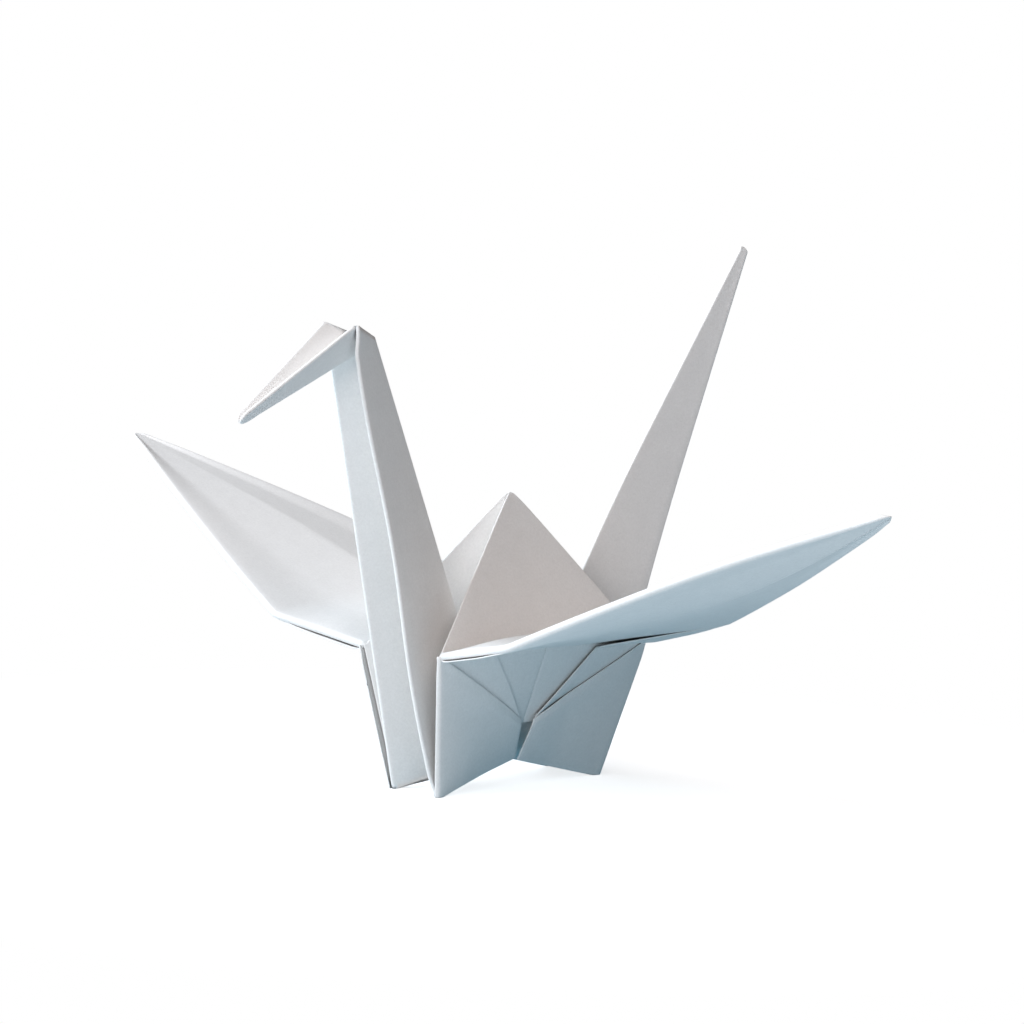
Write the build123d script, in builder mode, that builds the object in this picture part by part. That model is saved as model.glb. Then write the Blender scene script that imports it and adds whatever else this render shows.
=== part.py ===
from build123d import *
import os
from math import acos, atan2, cos, radians, sin, sqrt, tan

# A crane folded from one plain square of paper, standing on the four corners of its folded legs.
# The head points along -X, the tail along +X, the wings lie across Y, and the feet stand on Z = 0.
# The body's near side, towards -Y, is worked out first and mirrored to the far side.

# The square sheet and its creases, measured from a corner of the sheet where they are runs
sheet_side = 150.0
paper = 0.1
narrowing_angle = 11.5
neck_foot_setback = 3.4
tail_foot_setback = 4.3
head_edge_run = 17.9
head_spine_run = 20.9

# How far the folded body is opened
crotch_height = 3.3
spine_gap = 1.4
crown_gap = 0.5
front_foot_spread = 3.3
rear_foot_spread = 3.4
front_hip_spread = 6.4
rear_hip_spread = 7.0
waist_spread = 2.0
foot_flat = 1.6

# The neck, head and tail
neck_rise = 64.0
neck_top_opening = 44.0
head_droop = 26.4
tail_rise = 56.4
limb_layers = 4
edge_swell = 0.03
point_width = 1.2
sunk_length = 2.0

# The wings
wing_layers = 2
wing_root_rise = 8.0
wing_rise = 22.5
wing_bend_run = 19.5
wing_bend_steps = 6
wing_tip_wear = 1.3
elbow_half_width = 19.4
near_wing_yaw = 14.0
far_wing_yaw = 6.5
seam_width = 0.4

# The flaps folded over the body's sides and the wing roots, and the rounded upright folds
flap_layers = 2
fold_radius = 0.42

# Crease points of one corner of the flat sheet, as (across, along) its diagonal
narrowing = tan(radians(narrowing_angle))
neck_foot_run = sheet_side / 2 - neck_foot_setback
tail_foot_run = sheet_side / 2 - tail_foot_setback
half_diagonal = sheet_side / sqrt(2)
edge_slope = tan(radians(22.5))
crown_flat = Vector(0, half_diagonal)
crotch_flat = Vector(0, sheet_side / 2)
hip_flat = Vector(narrowing, 1) * (half_diagonal / (1 + narrowing))
elbow_flat = Vector(narrowing, 1) * (sheet_side * edge_slope / (narrowing + edge_slope))
corner_turn = radians(2 * narrowing_angle - 22.5)
corner_flat = Vector(sin(corner_turn), cos(corner_turn)) * (sheet_side / 2 / cos(radians(22.5)))
elbow_run = elbow_flat.Y - hip_flat.Y
wing_run = sheet_side - wing_tip_wear - hip_flat.Y
slant_share = (hip_flat.Y - corner_flat.Y) / (elbow_flat.Y - corner_flat.Y)
slant_flat = corner_flat + (elbow_flat - corner_flat) * slant_share


# Finding where crease points lie once folded
def mirrored(point):
    """The same point on the far side."""
    return Vector(point.X, -point.Y, point.Z)


def beyond(start, end, length):
    """The point this far past the end of a line."""
    return end + (end - start).normalized() * length


def level(low, high, height):
    """Where the line through two points crosses a height."""
    return low + (high - low) * ((height - low.Z) / (high.Z - low.Z))


def slanting(rise, length):
    """A step of that length in the XZ plane, at an angle above +X."""
    return Vector(cos(radians(rise)), 0, sin(radians(rise))) * length


def reach(first, first_length, second, second_length, half_spread, way):
    """The near point at given lengths from two others; way is -1 for the one towards the head."""
    first_radius = sqrt(first_length**2 - (half_spread + first.Y) ** 2)
    second_radius = sqrt(second_length**2 - (half_spread + second.Y) ** 2)
    span = sqrt((second.X - first.X) ** 2 + (second.Z - first.Z) ** 2)
    lean = acos((first_radius**2 + span**2 - second_radius**2) / (2 * first_radius * span))
    bearing = atan2(second.Z - first.Z, second.X - first.X) - way * lean
    return Vector(first.X + first_radius * cos(bearing), -half_spread, first.Z + first_radius * sin(bearing))


def foot(run, half_spread, crotch, way):
    """The corner where a leg's reverse fold meets its folded edge, standing on the ground."""
    length = (Vector(run * narrowing, run) - crotch_flat).length
    return crotch + Vector(way * sqrt(length**2 - crotch.Z**2 - half_spread**2), -half_spread, -crotch.Z)


def hip(run, half_spread, foot_corner, way):
    """The corner where the body's upright fold meets the wing's fold."""
    foot_flat_point = Vector(run * narrowing, run)
    upright_length = (hip_flat - foot_flat_point).length
    return reach(foot_corner, upright_length, crown, (hip_flat - crown_flat).length, half_spread, way)


# The body's corners on the near side
crown = Vector(0, 0, crotch_height + half_diagonal - sheet_side / 2)
front_crotch = Vector(0, 0, crotch_height)
rear_crotch = Vector(spine_gap, 0, crotch_height)
front_spine_top = crown - Vector(crown_gap / 2, 0, 0)
rear_spine_top = crown + Vector(crown_gap / 2, 0, 0)
front_foot = foot(neck_foot_run, front_foot_spread, front_crotch, -1)
rear_foot = foot(tail_foot_run, rear_foot_spread, rear_crotch, 1)
front_hip = hip(neck_foot_run, front_hip_spread, front_foot, -1)
rear_hip = hip(tail_foot_run, rear_hip_spread, rear_foot, 1)
waist = Vector(spine_gap / 2, -waist_spread, crotch_height)
hinge_middle = (front_hip + rear_hip) / 2 + Vector(0, paper, 0)
hinge_way = (rear_hip - front_hip).normalized()

# The limbs' corners
neck_top = front_crotch + slanting(180 - neck_rise, sheet_side / 2 - head_spine_run)
head_edge_flat = Vector(sin(radians(narrowing_angle)), cos(radians(narrowing_angle))) * head_edge_run
neck_edge_forward = slanting(270 - neck_rise, head_edge_flat.X * cos(radians(neck_top_opening)))
neck_edge_aside = Vector(0, -head_edge_flat.X * sin(radians(neck_top_opening)), 0)
neck_edge_ahead = slanting(180 - neck_rise, head_spine_run - head_edge_flat.Y)
neck_edge = neck_top + neck_edge_ahead + neck_edge_forward + neck_edge_aside
beak = neck_top + slanting(180 + head_droop, head_spine_run)
tail_tip = rear_crotch + slanting(tail_rise, sheet_side / 2)

hinge_plane = Plane(
    origin=(hinge_middle.X, 0, hinge_middle.Z),
    x_dir=(hinge_way.X, 0, hinge_way.Z),
    z_dir=(-hinge_way.Z, 0, hinge_way.X),
)


# The body: its sides, the two partitions that run in to the spines, and the hump
def ring(front, middle, rear, height):
    """The body's eight corners at one level, anticlockwise from the near front one."""
    rear_spine = level(rear_crotch, rear_spine_top, height)
    front_spine = level(front_crotch, front_spine_top, height)
    return [front, middle, rear, rear_spine, mirrored(rear), mirrored(middle), mirrored(front), front_spine]



def wall_outline(corners, growth):
    """A ring's outline with each side moved out by growth; the four folds are blunt where it grows."""
    outline = []
    for i, corner in enumerate(corners):
        way_in = (corner - corners[i - 1]).normalized()
        way_out = (corners[(i + 1) % len(corners)] - corner).normalized()
        normal_in = Vector(way_in.Y, -way_in.X)
        normal_out = Vector(way_out.Y, -way_out.X)
        if growth > 0 and i % 2 == 0:
            outline += [corner + normal_in * growth, corner + normal_out * growth]
        else:
            outline.append(corner + (normal_in + normal_out) * (growth / (1 + normal_in.dot(normal_out))))
    return outline


def ring_face(plane, corners, growth):
    """One level of the body, as a face on its plane."""
    local = [plane.to_local_coords(corner) for corner in corners]
    with BuildSketch(plane) as section:
        with BuildLine():
            Polyline(*wall_outline([Vector(point.X, point.Y) for point in local], growth), close=True)
        make_face()
    return section.sketch


def hump_face(hinge, share, growth):
    """A level of the hump, parallel to the hinge, where its outline is drawn in towards the crown."""
    height = hinge_plane.to_local_coords(crown).Z
    rear_tops = [rear_spine_top] * 3
    tops = [front_spine_top, crown, *rear_tops, crown, front_spine_top, front_spine_top]
    corners = [corner + (top - corner) * share for corner, top in zip(hinge, tops)]
    return ring_face(hinge_plane.offset(height * share), corners, growth)


def body_walls():
    """The open body below the wing folds and the hump above them, both one sheet thick."""
    half = paper / 2
    top_share = 0.985
    hollow_share = 0.9
    ground = ring(front_foot, level(waist, hinge_middle, 0), rear_foot, 0)
    hinge = ring(front_hip, hinge_middle, rear_hip, hinge_middle.Z)
    outer_hinge = ring_face(hinge_plane, hinge, half)
    inner_hinge = ring_face(hinge_plane, hinge, -half)
    with BuildPart() as shell:
        loft([ring_face(Plane.XY, ground, half), outer_hinge], ruled=True)
        loft([outer_hinge, hump_face(hinge, top_share, half)], ruled=True)
        loft([ring_face(Plane.XY, ground, -half), inner_hinge], ruled=True, mode=Mode.SUBTRACT)
        loft([inner_hinge, hump_face(hinge, hollow_share, -half)], ruled=True, mode=Mode.SUBTRACT)
    return shell.part


def side_flap(near_foot, near_hip, way, layers, edge_end):
    """Layers folded over the near side, from the upright fold to their free edges; way is -1 in front."""
    corner_share = (corner_flat.Y - crotch_flat.Y) / (hip_flat.Y - crotch_flat.Y)
    corner = waist + (hinge_middle - waist) * corner_share + hinge_way * (way * corner_flat.X)
    slant_end = beyond(corner, edge_end, sheet_side)
    ground_section = (Plane.XY, near_foot, level(waist, hinge_middle, 0))
    hinge_section = (hinge_plane, near_hip, hinge_middle)
    with BuildPart() as flap:
        for plane, fold, middle in (ground_section, hinge_section):
            start = plane.to_local_coords(fold)
            end = plane.to_local_coords(middle)
            along = Vector(end.X - start.X, end.Y - start.Y).normalized()
            out = Vector(along.Y, -along.X) * (-way * paper * (layers + 0.5))
            with BuildSketch(plane):
                with BuildLine():
                    Polyline(start, end, end + out, start + out, close=True)
                make_face()
        loft(ruled=True)
        with BuildSketch(Plane.XZ):
            with BuildLine():
                Polyline(
                    (corner.X, -sheet_side),
                    (corner.X, corner.Z),
                    (slant_end.X, slant_end.Z),
                    (way * 2 * sheet_side, slant_end.Z),
                    (way * 2 * sheet_side, -sheet_side),
                    close=True,
                )
            make_face()
        extrude(amount=sheet_side, both=True, mode=Mode.INTERSECT)
    return flap.part


def rounded_fold(start, end, radius):
    """The rounded edge of several layers that turn back together along a line."""
    with BuildPart() as roll:
        with BuildSketch(Plane(start, z_dir=end - start)):
            Circle(radius)
        extrude(amount=(end - start).length)
    return roll.part


def near_side_flaps():
    """The stepped flaps and rounded folds of the near side."""
    pieces = []
    for near_foot, near_hip, way in ((front_foot, front_hip, -1), (rear_foot, rear_hip, 1)):
        slant_end = hinge_middle + hinge_way * (way * slant_flat.X)
        pieces += [
            side_flap(near_foot, near_hip, way, flap_layers, slant_end),
            side_flap(near_foot, near_hip, way, 2 * flap_layers, near_hip),
            rounded_fold(near_foot, near_hip, fold_radius),
        ]
    return pieces


# The neck, head and tail: troughs folded along a spine and open along the other side
def crease(edge, spine):
    """The near edge, the spine and the far edge of one crease across a limb."""
    return edge, spine, mirrored(edge)


def trough(root, end):
    """A folded limb open along one side, with rounded folds, between two creases."""
    half = limb_layers * paper / 2
    with BuildPart() as limb:
        for near_edge, spine, far_edge in (root, end):
            opening = (near_edge + far_edge) / 2 - spine
            across = (far_edge - near_edge) / 2
            plane = Plane(spine, x_dir=opening, z_dir=opening.cross(across))
            side_way = Vector(opening.length, across.length).normalized()
            far_tip = side_way * (far_edge - spine).length
            far_out = Vector(-side_way.Y, side_way.X) * half
            far_side = [far_out, far_tip + far_out, far_tip - far_out, Vector(half / side_way.Y, 0)]
            near_side = [Vector(point.X, -point.Y) for point in reversed(far_side[:3])]
            with BuildSketch(plane):
                with BuildLine():
                    Polyline(*far_side, *near_side, close=True)
                make_face()
        loft(ruled=True)
        for start, stop in zip(root, end):
            add(rounded_fold(start, stop, half + edge_swell))
    return limb.part


def blunt_point(tip, edge, spine):
    """The small crease at a limb's point, alike in shape to the one it tapers from."""
    return crease(tip + (edge - spine).normalized() * point_width, tip)


def limbs():
    """The neck and tail, which start below the body's creases until they are trimmed, and the head."""
    tuck = limb_layers * paper
    neck_spine_root = beyond(neck_top, front_crotch, sunk_length)
    neck_root = crease(beyond(neck_edge, front_foot, sunk_length), neck_spine_root)
    tail_root = crease(beyond(tail_tip, rear_foot, sunk_length), beyond(tail_tip, rear_crotch, sunk_length))
    head_root = crease(neck_edge + Vector(-tuck, tuck, 0), neck_top - Vector(tuck, 0, 0))
    return [
        trough(neck_root, crease(neck_edge, neck_top)),
        trough(tail_root, blunt_point(tail_tip, rear_foot, rear_crotch)),
        trough(head_root, blunt_point(beak, neck_edge, neck_top)),
    ]


# The wings
def wing_stations(side, yaw):
    """Planes across one wing, each with its run from the wing's fold and half width; side is -1 when near."""
    runs = [wing_bend_run * step / wing_bend_steps for step in range(wing_bend_steps + 1)]
    place = Vector(hinge_middle.X, side * -hinge_middle.Y, hinge_middle.Z)
    run = 0.0
    stations = []
    for next_run in sorted(runs + [elbow_run, wing_run]):
        bend_share = min((run + next_run) / 2 / wing_bend_run, 1)
        heading = radians(yaw) * bend_share
        rise = radians(wing_root_rise + (wing_rise - wing_root_rise) * bend_share)
        way = Vector(-sin(heading) * cos(rise), side * cos(heading) * cos(rise), sin(rise))
        place = place + way * (next_run - run)
        run = next_run
        if run <= elbow_run:
            half_width = hip_flat.X + (elbow_half_width - hip_flat.X) * run / elbow_run
        else:
            left = (wing_run - run) / (wing_run - elbow_run)
            half_width = point_width / 2 + (elbow_half_width - point_width / 2) * left
        chord = (hinge_way - way * hinge_way.dot(way)).normalized()
        stations.append((Plane(place, x_dir=chord, z_dir=way), run, half_width))
    return stations


def wing(side, yaw):
    """One wing of two sheets, bent gently upward, with rounded folds along its edges."""
    thickness = wing_layers * paper
    with BuildPart() as blade:
        for plane, run, half_width in wing_stations(side, yaw):
            with BuildSketch(plane):
                SlotOverall(2 * half_width + thickness, thickness)
        loft(ruled=True)
    return blade.part


def root_flap(side, yaw, way):
    """Layers folded over under a wing, between its edge and the free edge that slants out to the elbow."""
    depth = (wing_layers / 2 + flap_layers) * paper
    slant_end = elbow_half_width - 2 * paper
    with BuildPart() as flap:
        for plane, run, half_width in wing_stations(side, yaw):
            if run <= elbow_run:
                inner = slant_flat.X + (slant_end - slant_flat.X) * run / elbow_run
                with BuildSketch(plane):
                    with Locations((way * (inner + half_width) / 2, side * depth / 2)):
                        Rectangle(half_width - inner, depth)
        loft(ruled=True)
    return flap.part


def wing_seam(side, yaw):
    """The slot between the free edges that meet along the middle of one wing's underside."""
    with BuildPart() as slot:
        for plane, run, half_width in wing_stations(side, yaw):
            with BuildSketch(plane):
                with Locations((0, side * paper)):
                    Rectangle(min(seam_width, half_width), 2 * paper)
        loft(ruled=True)
    return slot.part


def ground_clearance():
    """What is cut away below the feet and the slanting creases between them."""
    with BuildPart() as space:
        with BuildSketch(Plane.XZ):
            with BuildLine():
                Polyline(
                    (-sheet_side, -sheet_side),
                    (-sheet_side, 0),
                    (front_foot.X + foot_flat, 0),
                    (front_crotch.X, front_crotch.Z),
                    (rear_crotch.X, rear_crotch.Z),
                    (rear_foot.X - foot_flat, 0),
                    (sheet_side, 0),
                    (sheet_side, -sheet_side),
                    close=True,
                )
            make_face()
        extrude(amount=sheet_side, both=True)
    return space.part


# The whole folded sheet is one solid
walls = body_walls()
near_flaps = near_side_flaps()
far_flaps = [flap.mirror(Plane.XZ) for flap in near_flaps]
neck_tail_head = limbs()
wings = []
seams = []
for side, yaw in ((-1, near_wing_yaw), (1, far_wing_yaw)):
    wings += [wing(side, yaw), root_flap(side, yaw, -1), root_flap(side, yaw, 1)]
    seams.append(wing_seam(side, yaw))
below_feet = ground_clearance()

with BuildPart() as folded_crane:
    add(walls)
    for near_flap, far_flap in zip(near_flaps, far_flaps):
        add(near_flap)
        add(far_flap)
    add(neck_tail_head)
    add(wings)
    add(seams, mode=Mode.SUBTRACT)
    add(below_feet, mode=Mode.SUBTRACT)

folded_crane.part.label = "folded_crane"
os.makedirs("parts", exist_ok=True)
export_step(folded_crane.part, "parts/folded_crane.step")
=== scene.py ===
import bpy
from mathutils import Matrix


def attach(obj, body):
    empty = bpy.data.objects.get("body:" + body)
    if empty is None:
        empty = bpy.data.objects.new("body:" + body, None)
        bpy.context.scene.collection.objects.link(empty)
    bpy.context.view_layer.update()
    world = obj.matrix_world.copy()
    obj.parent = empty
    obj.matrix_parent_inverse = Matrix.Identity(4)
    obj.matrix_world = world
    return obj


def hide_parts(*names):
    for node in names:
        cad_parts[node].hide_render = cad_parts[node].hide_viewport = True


bl_info = {
    "name": "Folded Paper Crane",
    "version": (1, 0, 0),
    "blender": (4, 5, 0),
    "location": "3D Viewport > Sidebar > Paper Crane",
    "description": "Folds a crane from one square of white paper, on its measured solid",
    "category": "Object",
}

from math import atan2, cos, hypot, pi, radians, sin, sqrt, tan

import bmesh
import bpy
import numpy as np
from bpy.props import FloatProperty, FloatVectorProperty, IntProperty, PointerProperty
from mathutils import Matrix, Vector

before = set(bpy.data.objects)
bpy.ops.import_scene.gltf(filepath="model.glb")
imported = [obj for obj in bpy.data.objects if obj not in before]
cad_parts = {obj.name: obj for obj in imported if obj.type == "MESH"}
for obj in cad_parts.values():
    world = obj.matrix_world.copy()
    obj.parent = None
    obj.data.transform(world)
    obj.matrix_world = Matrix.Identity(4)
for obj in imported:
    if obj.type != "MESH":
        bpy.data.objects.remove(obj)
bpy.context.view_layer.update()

# All lengths below are in millimetres unless they come from a property, and MM turns them to metres.
# The head points along -X, the tail along +X, the camera's side of the crane is -Y, and Z = 0 is the floor.
MM = 0.001
MERGE_DISTANCE = 0.012

# The flat sheet: a quarter of its corner, the angle that narrows each leg, and where the head is bent back
QUARTER_CORNER = radians(22.5)
NARROWING = radians(11.5)
HEAD_SPINE_RUN = 20.9

# The open body: heights and half widths of its corners
CROTCH_HEIGHT = 3.3
SPINE_GAP = 1.4
FRONT_FOOT_RUN = 71.6
REAR_FOOT_RUN = 70.7
FRONT_FOOT_SPREAD = 3.3
REAR_FOOT_SPREAD = 3.4
FRONT_HIP_SPREAD = 6.45
REAR_HIP_SPREAD = 7.0
WAIST_SPREAD = 2.0
WAIST_DEPTH = 1.5
HINGE_DEPTH = 0.15

# The hump: how its crown is rounded, its levels, and how far each fold's rounding starts from the corner
CROWN_ROUNDING = 0.8
CROWN_LIFT = 1.05
CROWN_FADE = 4
WALL_LEVELS = 12
HUMP_LEVELS = 60
LEVEL_POWER = 0.8
LEAST_LEVEL = 0.003
FOLD_SETBACKS = (0.4, 0.7, 0.4, 0.5)
SETBACK_LIMIT = 0.4
CORNER_COLUMNS = 7
SIDE_COLUMNS = 14

# How far the hand folding is out of true: shifts to the far side, and the rear's own faults
FRONT_FOOT_SHIFT = -0.5
FRONT_HIP_SHIFT = 0.55
NECK_TOP_SHIFT = 0.6
REAR_FOOT_IN = 1.4
REAR_HIP_OUT = 0.53
REAR_HIP_DROP = 0.27

# How far the flaps' folded corners lie below their true place, and away from the middle
CORNER_DROP = 1.45
CORNER_ASIDE = 0.35

# The neck: the head's crease runs ahead of the spine's end, and out and aside from it. The near edge
# bellies out in a wave along its length, and the far leg stops short under the head.
NECK_ROWS = 90
NECK_RISE = 63.9
NECK_TOP_AHEAD = 2.95
NECK_TOP_OUT = 3.5
NECK_TOP_ASIDE = 2.6
NECK_FAR_SHORT = 1.4
NECK_BELLY = 0.6
NECK_WAVE = 0.3
NECK_WAVE_TOP = 0.85
NECK_WAVE_LENGTH = 0.62
NECK_CAP = 0.02

# The head: where its two edges and its spine start from the neck's corners, and its nose
HEAD_ROWS = 50
HEAD_LENGTH = 21.35
HEAD_DROOP = 27.4
HEAD_NEAR_ROOT = (-0.1, 0.35, -0.1)
HEAD_FAR_ROOT = (-0.2, -0.35, 0.25)
HEAD_SPINE_ROOT = (-0.3, 0, -0.75)
BEAK_WIDTH = 1.3
BEAK_NOSE = 2.2

# The tail
TAIL_ROWS = 70
TAIL_RISE = 56.8
TAIL_WIDTH = 0.9
TAIL_NOSE = 0.6
TAIL_BOW_TOP = 0.6
TAIL_SPINE_BOW = 1.27
TAIL_EDGE_BOW = 0.68

# The layers in every limb, the swelling of its edges, its bare valley and how finely it is drawn
LIMB_LAYERS = 4
EDGE_SWELL = 0.04
SWELL_WIDTH = 0.5
FLAP_GAP = 1.3
HALF_LIMIT = 0.9
BARE_LIMIT = 0.55
BARE_LEAST = 1.05
VALLEY_INSET = 0.04
VALLEY_DEPTH = 0.03
OUTER_POWER = 0.8
INNER_POWER = 1.3
SPINE_STEPS = 10
EDGE_STEPS = 8
NOSE_STEPS = 9

# Rows lie close within a zone about the hinge, and thin out below and above it
HINGE_ZONE = 0.75
HINGE_BELOW = 0.9
HINGE_ABOVE = 1.0
WING_BEGINS = 0.6

# The wings: how far apart their layers are, the slot, the blunt tip and the top layer's puff at the root
WING_UNDERLAP = 0.6
WING_INSET = 0.5
WING_LIFT = 0.16
WING_ROLL = 0.30
WING_ROLL_MORE = 0.12
ROLL_LIMIT = 0.55
LAYER_GAP = 0.055
SLOT_HALF = 0.07
TIP_CAP = 1.3
TIP_CLEAR = 1.5
TIP_BLUNT = 0.99
TURN_STEPS = 9
WING_PUFF = 1.2
REAR_PUFF = 0.4
PUFF_RUN = 5.5
PUFF_LENGTH = 4.0

# The body flaps: where they start, and how they lie on the fold and the partition
BODY_FLAP_LAYERS = 1.6
BODY_FLAP_ROWS = 26
BODY_FLAP_START = {-1: 0.012, 1: 0.02}
FRONT_LIFT_SHARE = 0.3
FLAP_CLEARANCE = 0.02
TOP_CLEARANCE = 0.16
FOLD_STEPS = 12
PARTITION_REACH = 0.93
PARTITION_RISE = 0.44
PARTITION_OFFSET = 0.08

# The corner flaps: where they start and end, how far they go under their neighbours, and how they lie
CORNER_FLAP_LAYERS = 1.4
CORNER_FLAP_START = 0.25
CORNER_FLAP_END = 0.8
CORNER_FLAP_UNDER = 1.0
CORNER_FLAP_INSET = 0.5
CORNER_FLAP_OUT = 0.26
UNDER_WING = 0.08
EDGE_HANG = 0.3
FREE_LIMIT = 10

# The unevenness of the sheets: the height and length of the waves and their seeds
WAVE_COUNT = 3
WAVE_TURN = 1.1
WAVE_STRETCH = 0.4
WING_WAVE = (0.06, 23.0)
WING_SEED = 3
FLAP_WAVE = (0.05, 17.0)
FLAP_SEED = 11

# The Mix node's two colour inputs and its colour output
FIRST_COLOUR = 6
SECOND_COLOUR = 7
MIXED_COLOUR = 2
WHITE = (1, 1, 1)


def hex_colour(code):
    """An sRGB colour such as "f4f3f1" as linear red, green and blue."""
    values = np.array([int(code[i : i + 2], 16) / 255 for i in (0, 2, 4)])
    linear = np.where(values <= 0.04045, values / 12.92, ((values + 0.055) / 1.055) ** 2.4)
    return tuple(float(value) for value in linear)


def length_property(name, description, default, least):
    """A length that can be changed in the panel."""
    return FloatProperty(name=name, description=description, default=default, min=least, unit="LENGTH")


def colour_property(name, description, code):
    """A colour that can be changed in the panel."""
    return FloatVectorProperty(name=name, description=description, subtype="COLOR", default=hex_colour(code))


class CraneSizes(bpy.types.PropertyGroup):
    """Sizes of the sheet and of its folds"""

    sheet_side: length_property("Sheet side", "Side of the square that the crane is folded from", 0.15, 0.05)
    paper: length_property("Paper thickness", "Thickness of one layer of paper", 0.0001, 0.00002)
    fold_radius: length_property("Upright fold radius", "Radius of the body's upright folds", 0.0005, 0.0001)
    flap_lift: length_property("Flap lift", "How far the rear flaps' free edges spring out", 0.0005, 0.0)
    panel_steps: IntProperty(name="Panel steps", description="Steps across each panel", default=28, min=8)


class CraneColours(bpy.types.PropertyGroup):
    """Colours of the paper, of the painted shade in its gaps and of the light"""

    paper: colour_property("Paper", "Colour of the white uncoated sheet", "f3f2f0")
    # crease: painted shade, the dark tone that the paper's ambient occlusion gives narrow gaps between layers
    crease: colour_property("Deep creases", "Tone of the paper in narrow gaps between two layers", "6f6766")
    fibre: colour_property("Paper fibres", "Slightly darker tone between the fibres", "e6e5e3")
    floor: colour_property("Floor", "Tint of the cool light that the floor throws up", "00ceff")


# Small helpers on arrays of points


def unit(vectors):
    """Each vector divided by its length."""
    return vectors / np.maximum(np.linalg.norm(vectors, axis=-1, keepdims=True), 1e-12)


def point(x, y, z):
    """A point as an array."""
    return np.array([x, y, z], float)


def mixed(start, end, share):
    """start + (end - start) * share, for points and arrays of shares."""
    share = np.asarray(share, float)[..., None]
    return start * (1 - share) + end * share


def smooth(values, start, end):
    """The smooth step 3t^2 - 2t^3, with t from 0 at start to 1 at end."""
    share = np.clip((np.asarray(values, float) - start) / (end - start), 0, 1)
    return share * share * (3 - 2 * share)


def turned(first, second, share):
    """Unit directions a share of the way round from one direction to another."""
    angle = np.arccos(np.clip(np.sum(first * second, axis=-1, keepdims=True), -1, 1))
    return (first * np.sin((1 - share) * angle) + second * np.sin(share * angle)) / np.sin(angle)


def heading(rise, yaw, side_way):
    """The direction out to one side at a rise and a yaw towards the head, both in degrees."""
    rise = np.radians(rise)
    yaw = np.radians(yaw)
    level = np.cos(rise)
    parts = (-np.sin(yaw) * level, side_way * np.cos(yaw) * level, np.sin(rise))
    return np.stack(np.broadcast_arrays(*parts), -1)


def reach(first, first_length, second, second_length, y, way):
    """The point at a given y and given lengths from two others; way is -1 for the one towards the head."""
    first_radius = sqrt(first_length**2 - (y - first[1]) ** 2)
    second_radius = sqrt(second_length**2 - (y - second[1]) ** 2)
    span = hypot(second[0] - first[0], second[2] - first[2])
    lean = np.arccos((first_radius**2 + span**2 - second_radius**2) / (2 * first_radius * span))
    bearing = atan2(second[2] - first[2], second[0] - first[0]) - way * lean
    return point(first[0] + first_radius * cos(bearing), y, first[2] + first_radius * sin(bearing))


# The folded corners


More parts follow.
